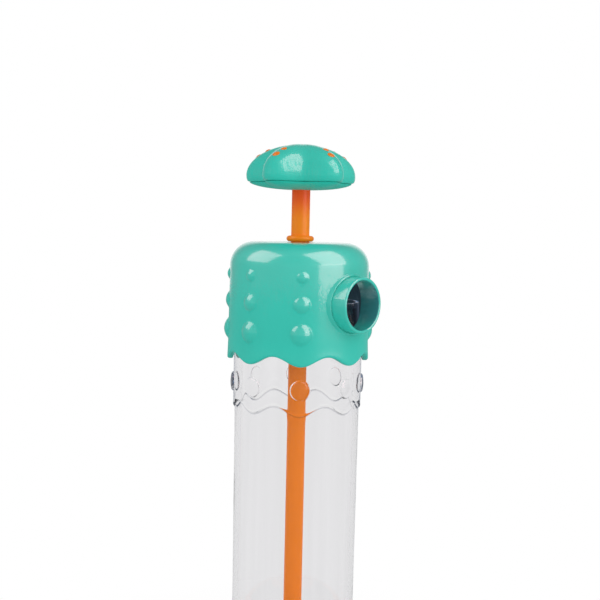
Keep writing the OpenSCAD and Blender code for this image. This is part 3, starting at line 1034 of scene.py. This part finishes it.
@dataclass
class ClearBarrel:
    """The clear barrel with its neck, wavy band and domes.

    A rounding is a row of (across, along) distances from a corner, and a fade a row of heights
    over the band's edge with their share of the wave.
    """

    wave: Wave
    low: float = 16.5
    rim: float = 205.3
    rim_round: tuple[Pair, ...] = ((0.0, 0.5), (0.15, 0.12), (0.5, 0.0))
    chamfer: float = 0.3
    foot_r: float = 29.28
    tube_r: float = 30.0
    tube_levels: tuple[float, ...] = (40.0, 65.0, 90.0, 115.0, 135.0)
    tube_fade: tuple[Pair, ...] = ((-4.0, 0.8), (-0.5, 1.0))
    tube_root: Pair = (0.05, -0.1)
    bore_r: float = 27.2
    bore_levels: tuple[float, ...] = (190.0, 160.0, 120.0, 80.0, 45.0)
    neck_r: float = 28.9
    bead_r: float = 29.7
    bead_z: float = 188.6
    bead_half: Pair = (1.0, 1.8)
    band_r: float = 30.8
    band_low: float = 153.6
    band_top: float = 184.3
    band_level: float = 175.0
    band_round: float = 0.25
    band_fade: tuple[Pair, ...] = ((2.0, 0.95), (4.0, 0.5))
    brow_h: float = 1.4
    brow_start: float = -80.0
    brow_steps: int = 8
    dome: Dome = Dome(9.3, 1.4, 165.8, 0.75)
    dome_step: float = 0.18
    steps: tuple[int, int] = (60, 20)

    def tube(self) -> list[Triple]:
        """Return the outline (radius, height, share of the wave) of the tube up to its wavy end.

        Returns:
            The points, from the foot up.
        """
        edge, base = self.band_low, self.low + self.chamfer
        points = [(self.bore_r + self.chamfer, self.low), (self.foot_r - self.chamfer, self.low)]
        for z in (base, *self.tube_levels):
            share = (z - self.low) / (edge - self.low)
            points.append((self.foot_r + (self.tube_r - self.foot_r) * share, z))
        wavy = [(self.tube_r, edge + up, share) for up, share in self.tube_fade]
        out, up = self.tube_root
        return level_points(points) + wavy + [(self.tube_r + out, edge + up, 1.0)]

    def band(self) -> list[Triple]:
        """Return the band's outline, with its lower edge rounded to a brow.

        Returns:
            The points, from the edge up.
        """
        edge, rise = self.band_low, self.band_r - self.tube_r
        low, high = self.dome.span()
        brow = [
            (self.tube_r + rise * math.cos(a), edge + self.brow_h * (1 + math.sin(a)), 1.0)
            for a in np.radians(np.linspace(self.brow_start, 0, self.brow_steps))
        ]
        wavy = [(self.band_r, edge + up, share) for up, share in self.band_fade]
        levels = steps_between(low, high, self.dome_step) + [high, self.band_level]
        levels.append(self.band_top - self.chamfer)
        return brow + wavy + level_points([(self.band_r, z) for z in levels])

    def neck(self) -> list[Triple]:
        """Return the outline of the neck with its bead, over the rim and down the bore.

        Returns:
            The points, from the band's top to the bore's foot.
        """
        flat, foot = self.bead_half
        points = [
            (self.band_r - self.band_round, self.band_top),
            (self.neck_r + self.chamfer, self.band_top),
            (self.neck_r, self.band_top + self.chamfer),
            (self.neck_r, self.bead_z - foot),
            (self.bead_r, self.bead_z - flat),
            (self.bead_r, self.bead_z + flat),
            (self.neck_r, self.bead_z + foot),
        ]
        points += [(self.neck_r - back, self.rim - down) for back, down in self.rim_round]
        points += [(self.bore_r + out, self.rim - down) for out, down in self.rim_round[::-1]]
        points += [(self.bore_r, z) for z in (*self.bore_levels, self.low + self.chamfer)]
        return level_points(points)

    def build(self, shop: Workshop) -> None:
        """Make the barrel and put it on its body.

        Args:
            shop: The workshop.
        """
        outline = self.tube() + self.band() + self.neck()
        turn = self.wave.turns(*self.steps)
        piece = Piece("clear_barrel")
        piece.add(self.wave.rings(outline, turn, self.band_r, [self.dome]), closed=True)
        shop.fit(piece.make(), Body.BARREL, Look.CLEAR, ["clear_tube"])


@dataclass
class WavyHead:
    """The cap with a wavy skirt, columns of domes and the spout socket.

    The lip's rows are (across, up) from its corners, and its fade is (up, share of the wave).
    """

    wave: Wave
    top: float = 233.3
    skirt_low: float = 176.8
    lip_h: float = 9.0
    lip_r: float = 34.0
    lip_inside: tuple[Pair, ...] = ((0.0, 2.0), (0.0, 0.5), (0.15, 0.15), (0.5, 0.0))
    lip_outside: tuple[Pair, ...] = ((1.1, 0.0), (0.6, 0.12), (0.24, 0.4), (0.08, 0.75))
    lip_fade: tuple[Pair, ...] = ((1.2, 1.0), (2.4, 0.8), (4.5, 0.45), (7.0, 0.15))
    head_r: float = 33.4
    draft: float = 0.3
    shoulder: float = 11.4
    cavity_r: float = 31.2
    cavity_low: float = 190.0
    cavity_bend: Pair = (4.5, 10.8)
    ceiling: float = 230.7
    rod_hole_r: float = 4.7
    hole_round: tuple[Pair, ...] = ((0.5, 0.0), (0.12, 0.12), (0.0, 0.5))
    spout_z: float = 205.3
    drill: Triple = (13.5, 20.0, 45.0)
    boss_foot_r: float = 14.7
    boss_reach: float = 34.2
    boss_back: float = 28.6
    boss_rows: int = 22
    boss_rise: float = 1.0
    boss_level: float = 0.3
    boss_groove: Pair = (0.25, 0.4)
    boss_lap: float = 0.2
    boss_sink: float = 0.05
    sleeve_r: float = 13.05
    sleeve_bore: float = 11.5
    sleeve_root: float = 34.0
    sleeve_reach: float = 40.3
    round_steps: int = 128
    sleeve_steps: int = 144
    steps: tuple[int, int] = (38, 18)
    level_step: float = 2.0
    dome_step: float = 0.3
    domes: tuple[Dome, ...] = (
        Dome(5.3, 1.1, 217.8),
        Dome(7.9, 1.6, 205.3),
        Dome(10.0, 2.1, 191.6),
    )

    def upright(self, level: Any) -> Any:
        """Return the outer wall's radius over the lip, at one height or an array of them."""
        low, high = self.skirt_low + self.lip_h, self.top - self.shoulder
        return self.head_r + self.draft * (high - level) / (high - low)

    def lip(self, up: float) -> float:
        """Return the outer wall's radius at a height over the skirt's lowest edge."""
        return self.lip_r - (self.lip_r - self.head_r - self.draft) * up / self.lip_h

    def levels(self) -> list[float]:
        """Find heights of the wall over the wave.

        Returns:
            The heights, closer together where the domes are.
        """
        out: list[float] = []
        low = self.skirt_low + self.lip_h
        for dome in sorted(self.domes, key=lambda d: d.level):
            under, over = dome.span()
            out += steps_between(low, under, self.level_step)
            out += steps_between(under, over, self.dome_step)
            low = over
        return out + steps_between(low, self.top - self.shoulder, self.level_step)

    def outline(self) -> list[Triple]:
        """Return the shell's outline (radius, height, share of the wave).

        Returns:
            The points, from the lip up the outside and back down the inside.
        """
        edge = self.skirt_low
        lip = [(self.cavity_r + out, edge + up, 1.0) for out, up in self.lip_inside]
        lip += [(self.lip_r - back, edge + up, 1.0) for back, up in self.lip_outside]
        lip += [(self.lip(up), edge + up, share) for up, share in self.lip_fade]
        points = [(self.upright(z), z) for z in self.levels()]
        shoulder = (self.head_r - self.shoulder, self.top - self.shoulder)
        points += arc(shoulder, self.shoulder, 0, 90, steps=22)
        points += [(self.rod_hole_r + out, self.top - down) for out, down in self.hole_round]
        points.append((self.rod_hole_r, self.ceiling))
        across, depth = self.cavity_bend
        inner = self.cavity_r - across
        bend = arc((0.0, self.ceiling - depth), depth, 90, 0, steps=10)
        points += [(inner + r * across / depth, z) for r, z in bend]
        return lip + level_points(points + [(self.cavity_r, self.cavity_low)])

    def sideways(self, rings: Rings) -> Rings:
        """Turn rings about the Z axis into rings about the spout's axis."""
        return np.stack([rings[..., 2], rings[..., 1], self.spout_z - rings[..., 0]], axis=-1)

    def boss_rings(self) -> Rings:
        """Shape the boss, a soft ridge that rises out of the wall round the sleeve.

        Returns:
            Its rings about the Z axis.
        """
        foot, inner = self.boss_foot_r, self.sleeve_r - self.boss_lap
        outline = [(inner, self.boss_back), (foot, self.boss_back)]
        outline += [(r, 0.0) for r in np.linspace(foot, inner, self.boss_rows)]
        rings = lathe(outline, self.round_steps)
        front = rings[2:]
        radius = np.array(outline)[2:, :1]
        wall_r = self.upright(self.spout_z - front[..., 0])
        wall = np.sqrt(wall_r**2 - front[..., 1] ** 2) - self.boss_sink
        share = np.clip((foot - radius) / self.boss_rise, 0, 1)
        proud = wall + self.boss_reach - self.head_r
        drop, width = self.boss_groove
        groove = drop * np.clip((self.sleeve_r + width - radius) / width, 0, 1)
        crest = proud + self.boss_level * (self.boss_reach - proud) - groove
        front[..., 2] = wall + (crest - wall) * (3 * share**2 - 2 * share**3)
        return rings

    def sleeve_rings(self) -> Rings:
        """Shape the socket's sleeve, whose inner end follows the cavity's wall.

        Returns:
            Its rings about the Z axis.
        """
        half = (self.sleeve_r - self.sleeve_bore) / 2
        middle = self.sleeve_bore + half
        rim = arc((middle, self.sleeve_reach - half), half, 0, 180, steps=14)
        root = self.sleeve_root
        rings = lathe([(self.sleeve_r, root), *rim, (self.sleeve_bore, root)], self.sleeve_steps)
        inner = [(r, 0.0) for r in (self.sleeve_bore, middle, self.sleeve_r)]
        ends = lathe(inner, self.sleeve_steps)
        ends[..., 2] = np.sqrt(self.cavity_r**2 - ends[..., 1] ** 2)
        return np.concatenate([rings, ends])

    def build(self, shop: Workshop) -> None:
        """Make the shell with its hole, and the socket's boss and sleeve.

        Args:
            shop: The workshop.
        """
        shell = Piece("wavy_shell")
        turn = self.wave.turns(*self.steps)
        rings = self.wave.rings(self.outline(), turn, self.head_r, self.domes, bare=0)
        shell.add(rings, closed=True)
        radius, near, far = self.drill
        drill = Piece("drill")
        drill.add(self.sideways(lathe([(radius, near), (radius, far)], self.round_steps)))
        thing = bored(shell.make(), drill.make())
        shop.fit(thing, Body.HEAD, Look.HEAD, ["head_shell"])
        boss = Piece("spout_boss")
        boss.add(self.sideways(self.boss_rings()), closed=True)
        shop.fit(boss.make(), Body.HEAD, Look.HEAD, [])
        sleeve = Piece("spout_sleeve")
        sleeve.add(self.sideways(self.sleeve_rings()), closed=True)
        shop.fit(sleeve.make(), Body.HEAD, Look.HEAD, ["spout_socket"])


@dataclass
class StarfishKnob:
    """The knob's two shells, lofted through starfish outlines.

    The roundings are rows of (up, in) from an edge, and the belly's levels are shares of its depth.
    """

    low: float = 258.1
    top: float = 280.0
    widest: float = 265.0
    seam: float = 261.6
    seam_gap: float = 0.4
    groove: Pair = (0.04, 0.75)
    upper_round: tuple[Pair, ...] = ((-0.1, 0.5), (0.06, 0.14), (0.4, 0.0))
    lower_round: tuple[Pair, ...] = ((-0.45, 0.0), (-0.12, 0.14), (0.0, 0.5))
    wall: float = 2.0
    mean_r: float = 23.3
    arm: float = 4.2
    arms: int = 5
    arm_turn: float = -9.0
    crown_power: float = 2.0
    crown_step: int = 3
    belly_power: float = 3.2
    belly_gap: float = 0.5
    belly_levels: tuple[float, ...] = (
        *(0.995, 0.98, 0.955, 0.92, 0.88, 0.83),
        *(0.77, 0.7, 0.63, 0.56, 0.5, 0.44),
    )
    tongue: Triple = (2.15, 3.35, 1.8)
    boss_r: float = 8.0
    boss_low: float = 259.1
    boss_top: float = 271.1
    boss_steps: int = 64
    rod_r: float = 4.45
    steps: int = 240
    sharp: float = 50.0

    def share(self, level: float, inset: float) -> float:
        """Return the share of the star's outline at a height.

        Args:
            level: The height.
            inset: The inset of the surface.

        Returns:
            1 at the widest level, down to 0 at the top and the bottom.
        """
        power, end = self.belly_power, self.low + inset
        if level > self.widest:
            power, end = self.crown_power, self.top - inset
        part = (level - self.widest) / (end - self.widest)
        return math.sqrt(max(0.0, 1 - part**power))

    def ring(self, level: float, inset: float, draw_in: float = 0.0) -> np.ndarray:
        """Return one outline's points.

        Args:
            level: Its height.
            inset: The inset of the surface that it is on.
            draw_in: How far an edge's rounding draws it in.

        Returns:
            The points, in millimetres.
        """
        turn = full_turn(self.steps)
        swing = self.arm * np.cos(self.arms * (turn - math.radians(self.arm_turn)))
        star = self.mean_r - inset + swing
        return turned(star * self.share(level, inset) - draw_in, level, turn)

    def crown(self, inset: float) -> list[np.ndarray]:
        """Return the outlines over the widest level, from it up."""
        rises = np.sin(np.radians(range(self.crown_step, 90, self.crown_step)))
        return [self.ring(self.widest + (self.top - self.widest - inset) * s, inset) for s in rises]

    def belly(self, inset: float, ceiling: float) -> list[np.ndarray]:
        """Return the outlines from the bottom up to just under a ceiling.

        Args:
            inset: The inset of the surface.
            ceiling: The height that they stay under.

        Returns:
            The outlines, from the bottom up.
        """
        fall = self.widest - self.low - inset
        levels = [self.widest - fall * s for s in self.belly_levels]
        return [self.ring(z, inset) for z in levels if z < ceiling - self.belly_gap]

    def upper_rings(self) -> Rings:
        """Shape the upper shell.

        Returns:
            Its rings, from the top inside, round the edge at the seam, to the top outside.
        """
        edge = self.seam + self.seam_gap
        middle = (edge + self.widest) / 2
        gap, deep = self.groove
        floor = self.seam + gap
        inside = [self.ring(z, self.wall) for z in (self.widest, middle, floor)]
        lip = [self.ring(floor, 0.0, deep)]
        lip += [self.ring(edge + up, 0.0, back) for up, back in self.upper_round]
        outside = [self.ring(z, 0.0) for z in (middle, self.widest)]
        return np.array(self.crown(self.wall)[::-1] + inside + lip + outside + self.crown(0.0))

    def lower_rings(self) -> Rings:
        """Shape the lower shell with the tongue inside the seam.

        Returns:
            Its rings, from the bottom outside to the bottom inside.
        """
        outer, inner, tall = self.tongue
        lip = [self.ring(self.seam + up, 0.0, back) for up, back in self.lower_round]
        tongue = [(self.seam, outer), (self.seam + tall, outer), (self.seam + tall, inner)]
        lip += [self.ring(level, inset) for level, inset in tongue]
        inside = self.belly(inner, self.seam + tall)[::-1]
        return np.array(self.belly(0.0, self.seam) + lip + inside)

    def build(self, shop: Workshop) -> None:
        """Make both shells, the lower one with the sleeve that takes the rod.

        Args:
            shop: The workshop.
        """
        upper = Piece("starfish_upper")
        upper.add(self.upper_rings())
        shop.fit(upper.make(self.sharp), Body.HANDLE, Look.KNOB, ["knob_upper_shell"])
        lower = Piece("starfish_lower")
        lower.add(self.lower_rings())
        sleeve = [(r, self.boss_low) for r in (self.rod_r, self.boss_r)]
        sleeve += [(r, self.boss_top) for r in (self.boss_r, self.rod_r)]
        lower.add(lathe(sleeve, self.boss_steps), closed=True)
        shop.fit(lower.make(self.sharp), Body.HANDLE, Look.UNDERSIDE, ["knob_lower_shell"])


@dataclass
class PlungerRod:
    """The rod with its collar, valve stop, guide and spigot."""

    rod_r: float = 4.4
    end: float = 268.1
    collar_low: float = 233.6
    collar_h: float = 2.75
    collar_r: float = 6.6
    collar_foot: Pair = (0.05, 0.02)
    neck: float = 0.4
    stop_low: float = 48.6
    stop_top: float = 51.0
    stop_r: float = 10.1
    stop_chamfer: float = 0.4
    root: float = 0.25
    guide_r: float = 5.1
    piston_top: float = 45.0
    spigot_r: float = 3.3
    spigot_low: float = 30.0
    spigot_chamfer: float = 0.3
    steps: int = 96

    def fillet(self, level: float, size: float) -> list[Pair]:
        """Return the rounding of that size between the shaft and a ledge at a height."""
        return arc((self.rod_r + size, level + size), size, 270, 180, steps=5)

    def outline(self) -> list[Pair]:
        """Return the rod's outline (radius, height).

        Returns:
            The points, from the spigot up.
        """
        bead, cut = self.collar_h / 2, self.stop_chamfer
        out, down = self.collar_foot
        low = [
            (self.spigot_r - self.spigot_chamfer, self.spigot_low),
            (self.spigot_r, self.spigot_low + self.spigot_chamfer),
            (self.spigot_r, self.piston_top),
            (self.guide_r, self.piston_top),
            (self.guide_r, self.stop_low),
            (self.stop_r - cut, self.stop_low),
            (self.stop_r, self.stop_low + cut),
            (self.stop_r, self.stop_top - cut),
            (self.stop_r - cut, self.stop_top),
        ]
        root = self.fillet(self.stop_top, self.root)
        foot = [(self.rod_r, self.collar_low - down), (self.rod_r + out, self.collar_low)]
        collar = arc((self.collar_r - bead, self.collar_low + bead), bead, -90, 90, steps=16)
        neck = self.fillet(self.collar_low + self.collar_h, self.neck)
        return low + root + foot + collar + neck + [(self.rod_r, self.end)]

    def build(self, shop: Workshop) -> None:
        """Make the rod.

        Args:
            shop: The workshop.
        """
        rod = Piece("plunger_rod")
        rod.add(lathe(self.outline(), self.steps))
        shop.fit(rod.make(), Body.HANDLE, Look.ROD, ["pump_rod"])


# The studio


class Work(Enum):
    """What a lamp does: it lights the surface evenly, or it shows as a sheen on it."""

    WASH = "wash"
    SHEEN = "sheen"


def outward(azimuth: float, lift: float) -> Vector:
    """Return the direction at an azimuth and a lift over the horizon, both in degrees."""
    turn, rise = math.radians(azimuth), math.radians(lift)
    return Vector((math.sin(turn), -math.cos(turn), math.tan(rise))).normalized()


@dataclass(frozen=True)
class Softbox:
    """A soft lamp that looks at the object, with its distance and size in metres."""

    name: str
    work: Work
    turn: float
    lift: float
    away: float
    size: Pair
    power: float
    colour: Colour = WHITE
    spares: tuple[str, ...] = ()

    def spare(self, hung: bpy.types.Object) -> None:
        """Keep the lamp's light off the pieces that it spares.

        Args:
            hung: The lamp's object.
        """
        group = bpy.data.collections.new(self.name + "_receivers")
        for name in self.spares:
            group.objects.link(bpy.data.objects[name])
        for entry in group.collection_objects:
            entry.light_linking.link_state = "EXCLUDE"
        hung.light_linking.receiver_collection = group

    def hang(self, target: Vector, front: float) -> None:
        """Hang the lamp.

        Args:
            target: The point that it looks at.
            front: Azimuth of the camera, in degrees.
        """
        side = outward(front + self.turn, self.lift)
        lamp = bpy.data.lights.new(self.name, "AREA")
        lamp.shape = "RECTANGLE"
        lamp.size, lamp.size_y = self.size
        lamp.energy = self.power
        lamp.color = self.colour
        hung = bpy.data.objects.new(self.name, lamp)
        hung.location = target + side * self.away
        hung.rotation_euler = side.to_track_quat("Z", "Y").to_euler()
        hung.visible_camera = False
        hung.visible_diffuse = self.work is Work.WASH
        hung.visible_glossy = self.work is Work.SHEEN
        hung.visible_transmission = self.work is Work.WASH
        bpy.context.scene.collection.objects.link(hung)
        if self.spares:
            self.spare(hung)


WARM: Colour = (1.0, 0.64, 0.7)
KNOB = ("starfish_upper",)


@dataclass
class Studio:
    """White surroundings, a pale floor, soft lamps and the camera.

    The steps of the surroundings go by a ray's height, or by how straight it goes to the backdrop.
    """

    azimuth: float = 42.4
    pitch: float = 3.9
    roll: float = 1.24
    away: float = 545.0
    centre_z: float = 205.4
    aside: float = 0.55
    lens: float = 67.8
    sensor: float = 36.0
    near: float = 10.0
    day: float = 1.06
    fill: float = 0.8
    overhead: float = 0.42
    room_step: Pair = (0.0, 0.8)
    backdrop_step: Pair = (0.3, 0.85)
    mirror_step: Pair = (0.8, 0.97)
    flags: float = 0.4
    flag_step: Pair = (-0.35, 0.25)
    pane: float = 0.836
    pane_step: Pair = (0.04, 0.16)
    floor_r: float = 3000.0
    floor_z: float = -0.3
    floor_sides: int = 64
    floor_greys: Pair = (0.80, 0.83)
    floor_cloud: float = 60.0
    floor_dim: float = 0.3
    shadow: Pair = (50.0, 220.0)
    shadow_share: float = 0.55
    stand_r: float = 34.0
    aim_z: float = 190.0
    lamps: tuple[Softbox, ...] = (
        Softbox("key", Work.WASH, 58.0, 16.0, 1.2, (1.2, 1.2), 2.6),
        Softbox("right", Work.SHEEN, 59.0, 44.0, 0.85, (0.76, 0.92), 12.6, WARM),
        Softbox("right_low", Work.SHEEN, 53.0, 6.6, 0.85, (0.68, 0.35), 3.7, WARM, KNOB),
        Softbox("left", Work.SHEEN, -77.0, 40.0, 0.85, (0.70, 0.64), 7.0, WARM, KNOB),
    )

    def camera(self) -> None:
        """Set the camera at the photograph's place."""
        azimuth = math.radians(self.azimuth)
        back = outward(self.azimuth, self.pitch)
        right = Vector((math.cos(azimuth), math.sin(azimuth), 0))
        target = (Vector((0, 0, self.centre_z)) + right * self.aside) * MM
        lens = bpy.data.cameras.new("camera")
        lens.lens = self.lens
        lens.sensor_width = self.sensor
        lens.clip_start = self.near * MM
        seen = bpy.data.objects.new("camera", lens)
        seen.location = target + back * self.away * MM
        upright = back.to_track_quat("Z", "Y")
        rolled = upright @ Quaternion((0, 0, 1), math.radians(self.roll))
        seen.rotation_euler = rolled.to_euler()
        bpy.context.scene.collection.objects.link(seen)
        bpy.context.scene.camera = seen

    def surroundings(self) -> None:
        """Make the world white to the eye, and a dimmer room to gloss and to clear plastic.

        Gloss sees a white backdrop between dark flags, and clear plastic an even grey by the horizon.
        """
        world = bpy.data.worlds.new("surroundings")
        bpy.context.scene.world = world
        bench = NodeBench(world)
        way = bench.direction()
        behind = tuple(-outward(self.azimuth, 0.0))
        facing = bench.vector("DOT_PRODUCT", way, behind, output="Value")
        height = bench.parts(way)[2]
        room = bench.ramp(height, *self.room_step, self.fill, self.overhead)
        through = room + (1 - room) * bench.ramp(facing, *self.backdrop_step)
        flagged = room * bench.ramp(facing, *self.flag_step, 1.0, self.flags)
        mirrored = flagged + (1 - flagged) * bench.ramp(facing, *self.mirror_step)
        camera, clear, glossy, depth = bench.rays(
            "Is Camera Ray", "Is Transmission Ray", "Is Glossy Ray", "Diffuse Depth"
        )
        lifted = bench.ramp(height, *self.pane_step)
        pane = self.pane * (1 + (through + mirrored - self.day - 1) * lifted)
        seen = (pane - self.day) * clear + (mirrored - self.day) * (glossy * (1 - clear))
        strength = (self.day + seen * depth.under(0.5)) * (1 - camera) + camera
        colour = (*WHITE, 1.0)
        sky = bench.wire("ShaderNodeBackground", {}, {"Color": colour, "Strength": strength})
        bench.finish(sky, "ShaderNodeOutputWorld")

    def floor_shader(self, bench: NodeBench) -> Wire:
        """Return the floor's shader: pale with a shadow, and white to the eye farther off.

        Args:
            bench: The bench to build it on.

        Returns:
            The shader's wire.
        """
        point = bench.place()
        cloud = bench.noise(point, self.floor_cloud)
        low, high = ((grey,) * 3 for grey in self.floor_greys)
        matt = bench.wire("ShaderNodeBsdfDiffuse", {}, {"Color": bench.blend(cloud, low, high)})
        dim = bench.wire("ShaderNodeBsdfDiffuse", {}, {"Color": (*[self.floor_dim] * 3, 1.0)})
        white, grey = (
            bench.wire("ShaderNodeEmission", {}, {"Color": (*[level] * 3, 1.0), "Strength": 1.0})
            for level in (1.0, self.pane)
        )
        distance = bench.vector("LENGTH", point, BLACK, output="Value")
        far = bench.ramp(distance, *scaled(self.shadow), self.shadow_share, 1.0)
        far = far * (1 - distance.under(self.stand_r * MM))
        camera, clear, glossy = bench.rays("Is Camera Ray", "Is Transmission Ray", "Is Glossy Ray")
        seen = bench.mix(far, matt, bench.mix(clear, white, grey))
        return bench.mix(camera | clear, bench.mix(glossy, matt, dim), seen)

    def floor(self) -> None:
        """Lay a pale floor that keeps the object's shadow."""
        mesh = bpy.data.meshes.new("floor")
        points = lathe([(self.floor_r, self.floor_z)], self.floor_sides)[0] * MM
        mesh.from_pydata(points.tolist(), [], [list(range(self.floor_sides))])
        floor = bpy.data.objects.new("floor", mesh)
        bpy.context.scene.collection.objects.link(floor)
        made = bpy.data.materials.new("pale_floor")
        bench = NodeBench(made)
        bench.finish(self.floor_shader(bench))
        mesh.materials.append(made)

    def build(self) -> None:
        """Set up the whole studio."""
        bpy.context.scene.view_settings.view_transform = "Standard"
        self.camera()
        self.surroundings()
        self.floor()
        for lamp in self.lamps:
            lamp.hang(Vector((0, 0, self.aim_z * MM)), self.azimuth)
            LOG.info("lamp %s", lamp.name)


def main() -> None:
    """Build the visual model and its studio."""
    logging.basicConfig(level=logging.INFO, format="%(name)s: %(message)s")
    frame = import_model()
    shop = Workshop(frame)
    wave = Wave()
    for assembly in (ClearBarrel(wave), WavyHead(wave), StarfishKnob(), PlungerRod()):
        assembly.build(shop)
        LOG.info("built %s", type(assembly).__name__)
    Studio().build()


if __name__ == "__main__":
    main()
